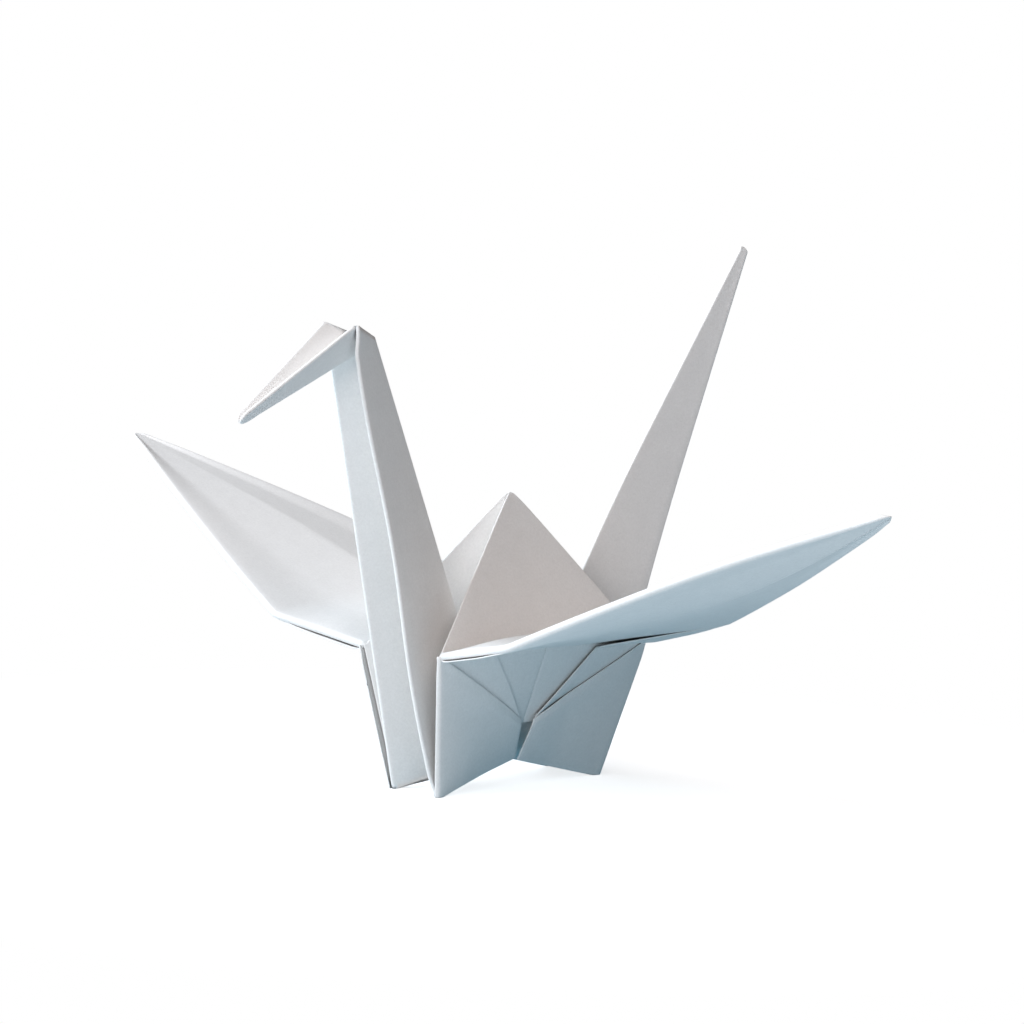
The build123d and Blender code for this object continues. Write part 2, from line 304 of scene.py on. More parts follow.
class Corners:
    """Where the creases of the flat sheet meet once it is folded, worked out from their lengths."""

    def __init__(self, sheet_side):
        side = sheet_side / MM
        slope = tan(NARROWING)
        edge_slope = tan(QUARTER_CORNER)
        self.slope = slope
        self.tip_run = side
        self.crotch_run = side / 2
        self.crown_run = side / sqrt(2)
        self.hip_run = self.crown_run / (1 + slope)
        self.hip_across = self.hip_run * slope
        self.elbow_run = side * edge_slope / (slope + edge_slope)
        self.elbow_across = self.elbow_run * slope
        self.elbow_length = (self.elbow_run - self.hip_run) / cos(NARROWING)
        turn = 2 * NARROWING - QUARTER_CORNER
        corner_reach = side / 2 / cos(QUARTER_CORNER)
        self.corner_across = corner_reach * sin(turn) + CORNER_ASIDE
        self.corner_run = corner_reach * cos(turn) - CORNER_DROP
        self.foot_runs = {-1: FRONT_FOOT_RUN, 1: REAR_FOOT_RUN}

        self.crown = point(0, 0, CROTCH_HEIGHT + self.crown_run - self.crotch_run)
        self.crotch = {-1: point(0, 0, CROTCH_HEIGHT), 1: point(SPINE_GAP, 0, CROTCH_HEIGHT)}
        self.feet = {}
        self.hips = {}
        for side_way in (-1, 1):
            for way in (-1, 1):
                self.feet[side_way, way] = self.foot(side_way, way)
                self.hips[side_way, way] = self.hip(side_way, way)
        self.waist = {w: point(SPINE_GAP / 4, w * WAIST_SPREAD, CROTCH_HEIGHT) for w in (-1, 1)}
        self.hinge_middle = {w: (self.hips[w, -1] + self.hips[w, 1]) / 2 for w in (-1, 1)}

        spine_length = side / 2 - HEAD_SPINE_RUN
        rise = radians(NECK_RISE)
        self.neck_way = point(-cos(rise), 0, sin(rise))
        self.neck_top = self.crotch[-1] + self.neck_way * spine_length
        neck_out = point(-sin(rise), 0, -cos(rise))
        self.neck_edges = {}
        for side_way in (-1, 1):
            aside = point(0, side_way * NECK_TOP_ASIDE + NECK_TOP_SHIFT, 0)
            ahead = self.neck_way * NECK_TOP_AHEAD
            self.neck_edges[side_way] = self.neck_top + ahead + neck_out * NECK_TOP_OUT + aside
        droop = radians(180 + HEAD_DROOP)
        self.beak = self.neck_top + point(cos(droop), 0, sin(droop)) * HEAD_LENGTH
        tail = radians(TAIL_RISE)
        self.tail_tip = self.crotch[1] + point(cos(tail), 0, sin(tail)) * (side / 2)

    def foot(self, side_way, way):
        """The corner of a leg's reverse fold, on the floor."""
        run = self.foot_runs[way]
        length = hypot(run * self.slope, run - self.crotch_run)
        y = side_way * FRONT_FOOT_SPREAD + FRONT_FOOT_SHIFT if way < 0 else side_way * REAR_FOOT_SPREAD
        across = sqrt(length**2 - CROTCH_HEIGHT**2 - y**2)
        slip = REAR_FOOT_IN if way > 0 else 0
        return point(self.crotch[way][0] + way * across - slip, y, 0)

    def hip(self, side_way, way):
        """The corner where the upright fold meets the wing."""
        run = self.foot_runs[way]
        upright = (self.hip_run - run) / cos(NARROWING)
        ridge = hypot(self.hip_run * self.slope, self.crown_run - self.hip_run)
        y = side_way * FRONT_HIP_SPREAD + FRONT_HIP_SHIFT if way < 0 else side_way * REAR_HIP_SPREAD
        hip = reach(self.feet[side_way, way], upright, self.crown, ridge, y, way)
        return hip + point(REAR_HIP_OUT, 0, -REAR_HIP_DROP) if way > 0 else hip


class SideMap:
    """Carries a point (across, along) of one body side and its wing from the flat sheet to its folded place.

    The centre line is the integral of a direction that turns at the hinge from the wall's to the wing's,
    and then rises and swings forward by a smooth step. A point lies at centre(along) + across *
    chord(along): the front and the rear half each have the chord that puts their own folded edge on the
    upright, then on the lines to the elbow and the tip. The point is then moved out along the normal.
    """

    bend = 0.5
    sample = 0.02
    run_below = 8
    steady_end = 1.0
    least_width = 0.01
    normal_step = 0.12

    def __init__(self, corners, side_way, wing):
        self.side_way = side_way
        self.corners = corners
        self.end_run = corners.tip_run - wing["wear"]
        hinge = corners.hip_run
        runs = np.arange(corners.crotch_run - self.run_below, corners.tip_run + self.sample / 2, self.sample)
        wall = corners.hinge_middle[side_way] - corners.waist[side_way]
        stretch = np.linalg.norm(wall) / (hinge - corners.crotch_run)
        over_hinge = smooth(runs, hinge - self.bend, hinge + self.bend)[:, None]
        along_wing = smooth(runs, hinge, hinge + wing["bend_run"])
        rise = wing["root_rise"] + (wing["rise"] - wing["root_rise"]) * along_wing
        wing_way = heading(rise, wing["yaw"] * along_wing, side_way)
        way = turned(np.broadcast_to(unit(wall), wing_way.shape), wing_way, over_hinge)
        path = np.cumsum(way * (stretch + (1 - stretch) * over_hinge), axis=0) * self.sample
        at_hinge = np.array([np.interp(hinge, runs, path[:, axis]) for axis in range(3)])
        self.runs = runs
        self.centre = path - at_hinge + corners.hinge_middle[side_way]
        self.chords = {}
        for half in (-1, 1):
            foot = corners.feet[side_way, half]
            hip = corners.hips[side_way, half]
            foot_run = corners.foot_runs[half]
            upright = mixed(foot, hip, (runs - foot_run) / (hinge - foot_run))
            elbow_rise, elbow_yaw, bow_out, bow_up = wing["front_edge"] if half < 0 else wing["rear_edge"]
            elbow = hip + heading(elbow_rise, elbow_yaw, side_way) * corners.elbow_length
            inner = mixed(hip, elbow, (runs - hinge) / (corners.elbow_run - hinge))
            outer_share = (runs - corners.elbow_run) / (corners.tip_run - corners.elbow_run)
            bow = 4 * outer_share * (1 - outer_share)
            outer = mixed(elbow, self.centre[-1], outer_share)
            outer = outer + bow[:, None] * point(half * bow_out, 0, bow_up)
            on_body = (runs < hinge)[:, None]
            edge = np.where(on_body, upright, np.where((outer_share < 0)[:, None], inner, outer))
            width = np.maximum(self.half_width(runs), self.least_width)
            chord = half * (edge - self.centre) / width[:, None]
            last = np.argmax(runs > corners.tip_run - self.steady_end)
            chord[last:] = chord[last]
            self.chords[half] = chord

    def half_width(self, along):
        """Half the flat width of the narrowed side at a run: the narrowing line, then the wing's own edge."""
        outer = (self.corners.tip_run - along) * tan(QUARTER_CORNER)
        return np.minimum(along * self.corners.slope, np.maximum(outer, 0))

    def pick(self, table, along):
        """Rows of a table at given runs, by linear interpolation."""
        return np.stack([np.interp(along, self.runs, table[:, axis]) for axis in range(3)], -1)

    def base(self, across, along):
        """The place of flat points on the folded surface itself."""
        front = self.pick(self.chords[-1], along)
        rear = self.pick(self.chords[1], along)
        chord = np.where((across < 0)[..., None], front, rear)
        return self.pick(self.centre, along) + chord * across[..., None]

    def normal(self, across, along):
        """The outward normal: the cross product of the two flat directions once folded."""
        step = self.normal_step
        half = np.where(across < 0, -1.0, 1.0)
        inner = np.maximum(np.abs(across), step * 2) * half
        over = self.base(inner + step * half * 0.5, along) - self.base(inner - step * half * 0.5, along)
        up = self.base(inner, along + step) - self.base(inner, along - step)
        return unit(np.cross(up, over * half[..., None])) * self.side_way

    def place(self, across, along, out):
        """Flat points placed and moved outwards by out."""
        across, along, out = np.broadcast_arrays(across, along, out)
        return self.base(across, along) + self.normal(across, along) * out[..., None]


# Each wing: how far its tip is worn, the run over which it bends, its rise and yaw in degrees, and for
# each folded edge the rise and yaw as far as the elbow, then the bow outwards and upwards to the tip
NEAR_WING = {
    "wear": 1.5,
    "bend_run": 60.0,
    "root_rise": 15.5,
    "rise": 23.2,
    "yaw": 25.0,
    "front_edge": (11.1, 11.7, -0.5, 0.95),
    "rear_edge": (16.0, -4.7, 0.9, -0.3),
}
FAR_WING = {
    "wear": 1.4,
    "bend_run": 47.0,
    "root_rise": 22.2,
    "rise": 19.1,
    "yaw": 9.4,
    "front_edge": (11.0, 13.9, 1.3, 0.5),
    "rear_edge": (15.5, -6.9, 0.0, 0.65),
}


# Turning surfaces into paper


def sheet_loops(mid, thickness, rim_steps=4):
    """Closed loops around a sheet.

    Each point of the mid-surface is moved half the thickness along its normal, to both faces, and the
    free edges are half circles: point + half * (outward * cos(a) + normal * sin(a)). At the first and
    last rows the whole loop is turned the same way, by cos(b) of itself and sin(b) of the row's outward
    direction, until it closes.
    """
    half = np.broadcast_to(np.asarray(thickness, float) / 2, mid.shape[:2])[..., None]
    across = np.gradient(mid, axis=1)
    along = np.gradient(mid, axis=0)
    normal = unit(np.cross(across, along))
    angles = np.linspace(pi / 2, -pi / 2, rim_steps + 2)[1:-1]
    right = unit(mid[:, -1] - mid[:, -2])[:, None] * np.cos(angles)[:, None]
    right = right + normal[:, -1][:, None] * np.sin(angles)[:, None]
    left = unit(mid[:, 0] - mid[:, 1])[:, None] * np.cos(angles)[:, None]
    left = left - normal[:, 0][:, None] * np.sin(angles)[:, None]
    count = mid.shape[1]
    order = [*range(count), *[count - 1] * rim_steps, *reversed(range(count)), *[0] * rim_steps]
    points = mid[:, order]
    offsets = np.concatenate([normal, right, -normal[:, ::-1], left], axis=1) * half[:, order]
    loops = [points + offsets]
    turns = np.linspace(0, pi / 2, rim_steps + 1)[1:]
    for end, inner in ((0, 1), (-1, -2)):
        outward = unit(mid[end] - mid[inner])[order] * half[end][order]
        caps = [points[end] + offsets[end] * cos(turn) + outward * sin(turn) for turn in turns]
        if end == 0:
            loops.insert(0, np.array(caps[::-1]))
        else:
            loops.append(np.array(caps))
    return np.concatenate(loops)


def add_piece(name, loops):
    """One mesh object from closed loops in millimetres, one row each; points that nearly meet are merged."""
    rows, columns = loops.shape[:2]
    index = np.arange(rows * columns).reshape(rows, columns)
    beside = np.roll(index, -1, axis=1)
    faces = np.stack([index[:-1], beside[:-1], beside[1:], index[1:]], -1).reshape(-1, 4)
    mesh = bpy.data.meshes.new(name)
    mesh.from_pydata(loops.reshape(-1, 3) * MM, [], faces.tolist())
    body = bmesh.new()
    body.from_mesh(mesh)
    bmesh.ops.remove_doubles(body, verts=body.verts, dist=MERGE_DISTANCE * MM)
    bmesh.ops.recalc_face_normals(body, faces=body.faces)
    body.to_mesh(mesh)
    body.free()
    mesh.polygons.foreach_set("use_smooth", np.ones(len(mesh.polygons), bool))
    mesh.materials.append(uncoated_paper())
    piece = bpy.data.objects.new(name, mesh)
    bpy.context.scene.collection.objects.link(piece)
    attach(piece, "root")
    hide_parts("folded_crane")
    return piece


def add_sheet(name, mid, thickness):
    """One piece of paper from its mid-surface."""
    return add_piece(name, sheet_loops(mid, thickness))


def waves(first, second, amplitude, length, seed):
    """A gentle unevenness: the mean of three sine waves over two flat directions, each longer than the last.

    Their directions and phases are drawn from the seed, so they are the same each time.
    """
    draws = np.random.default_rng(seed).uniform(0, 2 * pi, (WAVE_COUNT, 2))
    total = 0
    for count, (phase, other) in enumerate(draws):
        angle = count * WAVE_TURN + other
        distance = first * cos(angle) + second * sin(angle)
        total = total + np.sin(2 * pi * distance / length / (1 + WAVE_STRETCH * count) + phase)
    return amplitude * total / WAVE_COUNT


# Materials


def add_node(tree, kind, settings=None, links=None):
    """Adds a node to a tree, sets its values and links its inputs."""
    node = tree.nodes.new(kind)
    for key, value in (settings or {}).items():
        if isinstance(key, str) and hasattr(node, key):
            setattr(node, key, value)
        else:
            node.inputs[key].default_value = value
    for key, source in (links or {}).items():
        tree.links.new(source, node.inputs[key])
    return node


def cleared_tree(owner):
    """The empty node tree of a new material or world."""
    owner.use_nodes = True
    owner.node_tree.nodes.clear()
    return owner.node_tree


def add_noise(tree, place, size, detail, roughness):
    """A noise texture with patches of a given size in millimetres."""
    settings = {"Scale": 1 / (size * MM), "Detail": detail, "Roughness": roughness}
    return add_node(tree, "ShaderNodeTexNoise", settings, {"Vector": place}).outputs["Fac"]


def add_range(tree, value, low, high, kind="LINEAR"):
    """A share that goes from 0 to 1 while a value goes from low to high."""
    settings = {"interpolation_type": kind, "From Min": low, "From Max": high}
    return add_node(tree, "ShaderNodeMapRange", settings, {"Value": value}).outputs["Result"]


def add_bump(tree, height, strength, distance, normal=None):
    """A fine relief of a given height in millimetres, on top of another if one is given."""
    settings = {"Strength": strength, "Distance": distance * MM}
    links = {"Height": height, "Normal": normal} if normal else {"Height": height}
    return add_node(tree, "ShaderNodeBump", settings, links).outputs["Normal"]


def add_matt(tree, grey):
    """A matt shader of one grey."""
    return add_node(tree, "ShaderNodeBsdfDiffuse", {"Color": (grey, grey, grey, 1)}).outputs["BSDF"]


def add_glow(tree, colour, strength):
    """A shader that gives off light of its own."""
    settings = {"Color": (*colour, 1), "Strength": strength}
    return add_node(tree, "ShaderNodeEmission", settings).outputs["Emission"]


def add_sum(tree, first, second):
    """Two shaders added together."""
    return add_node(tree, "ShaderNodeAddShader", links={0: first, 1: second}).outputs["Shader"]


def add_choice(tree, share, first, second):
    """The first shader at a share of 0, the second at 1."""
    return add_node(tree, "ShaderNodeMixShader", links={"Fac": share, 1: first, 2: second}).outputs["Shader"]


def uncoated_paper():
    """Uncoated wood-free paper, calendered but not filled: matt, white, with a fine fibre grain.

    The tone is grain + 0.35 * cloud, and where another layer is close, painted shade takes it over to the
    crease colour by the share of open sky that an ambient occlusion node finds within 0.7 mm.
    """
    known = bpy.data.materials.get("uncoated_white_paper")
    if known:
        return known
    colours = bpy.context.scene.crane_colours
    material = bpy.data.materials.new("uncoated_white_paper")
    tree = cleared_tree(material)
    place = add_node(tree, "ShaderNodeTexCoord").outputs["Object"]
    cloud = add_noise(tree, place, size=2.2, detail=4.0, roughness=0.6)
    grain = add_noise(tree, place, size=0.28, detail=3.0, roughness=0.65)
    tones = add_node(tree, "ShaderNodeMath", {"operation": "MULTIPLY_ADD", 1: 0.35}, {0: cloud, 2: grain})
    tone = add_range(tree, tones.outputs["Value"], low=0.35, high=1.0)
    colour = add_node(
        tree,
        "ShaderNodeMix",
        {"data_type": "RGBA", FIRST_COLOUR: (*colours.fibre, 1), SECOND_COLOUR: (*colours.paper, 1)},
        {0: tone},
    )
    # Painted shade: where another layer is close, the occlusion share darkens the paper towards the crease
    # colour
    open_sky = add_node(tree, "ShaderNodeAmbientOcclusion", {"samples": 12, "Distance": 0.7 * MM})
    shallow = add_range(tree, open_sky.outputs["AO"], low=0.1, high=0.5)
    shaded = add_node(
        tree,
        "ShaderNodeMix",
        {"data_type": "RGBA", FIRST_COLOUR: (*colours.crease, 1)},
        {0: shallow, SECOND_COLOUR: colour.outputs[MIXED_COLOUR]},
    )
    felt = add_bump(tree, grain, strength=0.35, distance=0.03)
    formation = add_bump(tree, cloud, strength=0.3, distance=0.12, normal=felt)
    shader = add_node(
        tree,
        "ShaderNodeBsdfPrincipled",
        {"Roughness": 0.85, "IOR": 1.45, "Specular IOR Level": 0.25},
        {"Base Color": shaded.outputs[MIXED_COLOUR], "Normal": formation},
    )
    add_node(tree, "ShaderNodeOutputMaterial", links={"Surface": shader.outputs["BSDF"]})
    return material


def pale_floor():
    """A matt pale floor: it bounces a cool light under the paper, and shows white with a faint shadow.

    The camera sees a bright grey near the crane, which fades to plain white from 30 to 100 mm away. The
    floor's own glow isn't sampled as a lamp, which lessens the grain on thin bright forms.
    """
    material = bpy.data.materials.new("matt_pale_floor")
    material.cycles.emission_sampling = "NONE"
    tree = cleared_tree(material)
    seen = add_node(tree, "ShaderNodeLightPath").outputs["Is Camera Ray"]
    cool = add_glow(tree, bpy.context.scene.crane_colours.floor, 0.186)
    bounce = add_sum(tree, add_matt(tree, 0.6), cool)
    near = add_sum(tree, add_matt(tree, 0.8), add_glow(tree, WHITE, 0.75))
    place = add_node(tree, "ShaderNodeTexCoord").outputs["Object"]
    away = add_node(tree, "ShaderNodeVectorMath", {"operation": "LENGTH"}, {0: place})
    fade = add_range(tree, away.outputs["Value"], low=0.03, high=0.1, kind="SMOOTHSTEP")
    shown = add_choice(tree, fade, near, add_glow(tree, WHITE, 1.0))
    add_node(tree, "ShaderNodeOutputMaterial", links={"Surface": add_choice(tree, seen, bounce, shown)})
    return material


# Shapes of the pieces


def ring(folds, middles, spines):
    """Eight corners round the body: on each side two folds with a middle between them, then a spine."""
    near = [folds[-1, -1], middles[-1], folds[-1, 1], spines[1]]
    far = [folds[1, 1], middles[1], folds[1, -1], spines[-1]]
    return np.array(near + far)


def hump_loops(corners, paper):
    """The hump above the wings and the walls below it: eight corners at each level, joined and rounded.

    A level's outline is a closed run of quadratic Bezier corners and straight sides. Up to the hips the
    corners go from the feet to the hips, and above them towards the crown. There a fall f below the top
    becomes sqrt(f^2 + rounding^2 * exp(-f / fade)), so that the sheet is blunt as a real one is.
    """
    waists = {way: corners.waist[way] - point(0, way * WAIST_DEPTH, 0) for way in (-1, 1)}
    lower = ring(corners.feet, waists, corners.crotch)
    spine_share = (corners.hinge_middle[-1][2] - CROTCH_HEIGHT) / (corners.crown[2] - CROTCH_HEIGHT)
    spines = {way: mixed(corners.crotch[way], corners.crown, spine_share) for way in (-1, 1)}
    middles = {way: corners.hinge_middle[way] - point(0, way * HINGE_DEPTH, 0) for way in (-1, 1)}
    hinge = ring(corners.hips, middles, spines)
    crown = corners.crown + point(0, 0, CROWN_ROUNDING * CROWN_LIFT)
    walls = mixed(lower, hinge, np.linspace(0, 1, WALL_LEVELS)[:, None])
    shares = np.maximum(1 - np.linspace(0, 1, HUMP_LEVELS)[1:] ** LEVEL_POWER, LEAST_LEVEL)
    hump = mixed(crown, hinge, shares[:, None])
    fall = crown[2] - hump[..., 2]
    hump[..., 2] = crown[2] - np.sqrt(fall**2 + CROWN_ROUNDING**2 * np.exp(-fall / CROWN_FADE))
    levels = np.concatenate([walls, hump])
    back = np.roll(levels, 1, axis=1) - levels
    ahead = np.roll(levels, -1, axis=1) - levels
    back_length = np.linalg.norm(back, axis=-1, keepdims=True)
    ahead_length = np.linalg.norm(ahead, axis=-1, keepdims=True)
    setback = np.tile(FOLD_SETBACKS, 2)[None, :, None]
    start = levels + back / back_length * np.minimum(setback, back_length * SETBACK_LIMIT)
    end = levels + ahead / ahead_length * np.minimum(setback, ahead_length * SETBACK_LIMIT)
    columns = []
    for corner in range(levels.shape[1]):
        for t in np.linspace(0, 1, CORNER_COLUMNS):
            towards = start[:, corner] * (1 - t) ** 2 + levels[:, corner] * 2 * t * (1 - t)
            columns.append(towards + end[:, corner] * t**2)
        following = (corner + 1) % levels.shape[1]
        for t in np.linspace(0, 1, SIDE_COLUMNS)[1:-1]:
            columns.append(end[:, corner] * (1 - t) + start[:, following] * t)
    outline = np.stack(columns, axis=1)
    across = np.roll(outline, -1, axis=1) - np.roll(outline, 1, axis=1)
    along = np.gradient(outline, axis=0)
    normal = unit(np.cross(across, along))
    outer = outline + normal * paper / 2
    inner = outline - normal * paper / 2
    outer_tip = np.broadcast_to(outer[-1].mean(axis=0), outer[-1].shape)[None]
    inner_tip = np.broadcast_to(inner[-1].mean(axis=0), inner[-1].shape)[None]
    return np.concatenate([outer_tip, outer[::-1], inner, inner_tip])


def runs_over_hinge(start, hinge, end, counts):
    """Runs from start to end in three even parts, of which the middle one lies close about the hinge."""
    below = np.linspace(start, hinge - HINGE_BELOW, counts[0])
    about = np.linspace(hinge - HINGE_ZONE, hinge + HINGE_ZONE, counts[1])
    above = np.linspace(hinge + HINGE_ABOVE, end, counts[2])
    return np.concatenate([below, about, above])


def wing_mid(side, steps):
    """One wing and the part of it that lies on the body, as one sheet folded in from both edges.

    Going round, the sheet runs from the middle of the underside to the front fold, over the top to the
    rear fold and back under to the middle. Each fold is half a turn, roll * cos(a) across and -sin(a)
    between the layers. These lie gap + (roll - gap) * smooth(s) from the middle, with s the share of the
    half width. Near the root the top layer rises by puff * sin(pi s) * exp(-((run - place) / length)^2).
    At the tip all shrinks as sqrt(1 - 0.99 t^2), so the tip is blunt and nearly closed.
    """
    corners = side.corners
    hinge = corners.hip_run
    runs = runs_over_hinge(corners.corner_run - WING_UNDERLAP, hinge, side.end_run - TIP_CLEAR, (12, 16, 70))
    cap = side.end_run - TIP_CAP * (1 - np.sin(np.linspace(0, pi / 2, TURN_STEPS)))
    runs = np.concatenate([runs, cap])
    on_wing = smooth(runs, hinge - WING_BEGINS, hinge + 0.3)
    blunt = np.sqrt(1 - TIP_BLUNT * np.clip((runs - side.end_run + TIP_CAP) / TIP_CAP, 0, 1) ** 2)
    width = (side.half_width(runs) - WING_INSET * (1 - on_wing)) * blunt
    roll = np.minimum(WING_ROLL + WING_ROLL_MORE * on_wing, ROLL_LIMIT * width)
    seam = SLOT_HALF * blunt[:, None]
    turn = np.linspace(-pi / 2, pi / 2, TURN_STEPS)
    reach_out = (width - roll)[:, None]
    under = seam + (reach_out - seam) * np.linspace(0, 1, steps)[None, :]
    arc = reach_out + roll[:, None] * np.cos(turn)[None, :]
    top = np.linspace(-1, 1, 2 * steps)[None, 1:-1] * reach_out
    across = np.concatenate([-under, -arc, top, arc[:, ::-1], under[:, ::-1]], axis=1)
    below = np.ones_like(under)
    between = -np.sin(turn)[None, :] * np.ones_like(arc)
    face = np.concatenate([below, between, -np.ones_like(top), between[:, ::-1], below], axis=1)
    along = np.broadcast_to(runs[:, None], across.shape)
    edge_share = np.abs(across) / width[:, None]
    gap = (LAYER_GAP + (roll - LAYER_GAP)[:, None] * smooth(edge_share, 0.55, 0.97)) * on_wing[:, None]
    gap = gap * blunt[:, None]
    gap = gap + LAYER_GAP * (1 - on_wing[:, None])
    out = face * gap + WING_LIFT * (1 - on_wing[:, None])
    out = out + waves(across, along, *WING_WAVE, WING_SEED + side.side_way) * on_wing[:, None]
    puff = np.sin(pi * np.clip(edge_share, 0, 1)) * np.where(across < 0, 1.0, REAR_PUFF)
    puff = puff * np.exp(-(((runs - hinge - PUFF_RUN) / PUFF_LENGTH) ** 2))[:, None] * on_wing[:, None]
    out = out - WING_PUFF * puff * (face < 0)
    return side.place(across, along, out)


def body_flap_mid(side, half, lift, steps):
    """The outermost flap on one half of a body side, with its upright fold and the partition beside it.

    On the flat sheet it lies between the lower edge, from the foot to the crotch, and the line from the
    folded corner to the hip. Its free edge springs out by lift.
    Past the upright it turns about the fold's axis, by side * |cos(pi t)| + bisector * sin(pi t) with the
    partition's normal in the second half, and runs on along the partition towards the spine.
    """
    corners = side.corners
    fold_radius = bpy.context.scene.crane_sizes.fold_radius / MM
    rows = np.linspace(0, 1, BODY_FLAP_ROWS)
    foot_run = corners.foot_runs[half]
    corner_across = corners.corner_across
    corner_run = corners.corner_run
    start = BODY_FLAP_START[half]
    share = start + (1 - start) * np.linspace(0, 1, steps)
    low_across = share * foot_run * corners.slope
    low_along = corners.crotch_run + (foot_run - corners.crotch_run) * share
    high_across = corner_across + (corners.hip_across - corner_across) * (share - start) / (1 - start)
    high_along = corner_run + (corners.hip_run - corner_run) * (share - start) / (1 - start)
    across = half * (low_across + (high_across - low_across) * rows[:, None])
    along = low_along + (high_along - low_along) * rows[:, None]
    radius = fold_radius * (1 - 0.3 * smooth(rows, 0.85, 1))[:, None]
    free = (1 - smooth(share, start, start + 0.45))[None, :]
    top_edge = smooth(rows, 0.6, 1)[:, None] * (1 - smooth(share, 0.85, 1))[None, :]
    out = radius + FLAP_CLEARANCE + np.maximum(lift * free, TOP_CLEARANCE * top_edge)
    out = out + waves(across, along, *FLAP_WAVE, FLAP_SEED + half) * (1 - smooth(share, 0.7, 1.0))[None, :]
    face = side.place(across, along, out)

    foot = corners.feet[side.side_way, half]
    hip = corners.hips[side.side_way, half]
    axis_points = mixed(foot, hip, rows)
    spine = mixed(corners.crotch[half], corners.crown, rows * PARTITION_RISE)
    side_normal = side.normal(across[:, -1], along[:, -1])
    inward = unit(spine - axis_points)
    upright = unit(hip - foot)
    partition_normal = unit(np.cross(upright, inward)) * side.side_way * -half
    bisector = unit(-(inward + unit(face[:, -2] - face[:, -1])))
    columns = []
    for t in np.linspace(0, 1, FOLD_STEPS)[1:]:
        normal = side_normal if t < 0.5 else partition_normal
        direction = normal * abs(cos(pi * t)) + bisector * sin(pi * t)
        columns.append(axis_points + unit(direction) * (radius + FLAP_CLEARANCE))
    for t in np.linspace(0, 1, FOLD_STEPS)[1:]:
        offset = (radius + FLAP_CLEARANCE) * (1 - t) + PARTITION_OFFSET * t
        columns.append(axis_points + (spine - axis_points) * PARTITION_REACH * t + partition_normal * offset)
    return np.concatenate([face, np.stack(columns, axis=1)], axis=1)


def corner_flap_mid(side, half, lift, steps):
    """The flap between the folded corner, the hip and the elbow, which lies on the body and under the wing.

    Rows go from the folded corner out to the elbow. Each runs from the free edge, a straight line on the
    flat sheet, to the line where the flap disappears under its neighbour or meets the wing's edge. Under
    the wing it hangs lower towards that edge, and less so at the elbow.
    """
    corners = side.corners
    hinge = corners.hip_run
    corner_across = corners.corner_across
    corner_run = corners.corner_run
    elbow_run = corners.elbow_run
    runs = runs_over_hinge(corner_run + CORNER_FLAP_START, hinge, elbow_run - CORNER_FLAP_END, (12, 12, 18))
    share = (runs - corner_run) / (elbow_run - corner_run)
    free = corner_across + (corners.elbow_across - corner_across) * share
    body_share = (runs - corner_run) / (hinge - corner_run)
    tucked = corner_across + (corners.hip_across - corner_across) * body_share + CORNER_FLAP_UNDER
    inset = CORNER_FLAP_INSET - 0.6 * smooth(runs, hinge - 0.5, hinge + 1)
    inset = inset + CORNER_FLAP_INSET * smooth(runs, elbow_run - 4, elbow_run)
    limit = np.where(runs < hinge, tucked, corners.hip_across + FREE_LIMIT)
    outer = np.minimum(limit, runs * corners.slope - inset)
    t = np.linspace(0, 1, steps)[None, :]
    across = half * (free[:, None] + (outer - free)[:, None] * t)
    along = np.broadcast_to(runs[:, None], across.shape)
    on_wing = smooth(runs, hinge - WING_BEGINS, hinge + 1.5)[:, None]
    raised = lift * (1 - smooth(t, 0, 0.8)) * (1 - 0.5 * on_wing) * (1 - 0.7 * share[:, None])
    hang = 1 - 0.7 * smooth(runs, elbow_run - 6, elbow_run)[:, None]
    out = CORNER_FLAP_OUT + on_wing * (UNDER_WING + EDGE_HANG * t * hang) + raised
    return side.place(across, along, out)


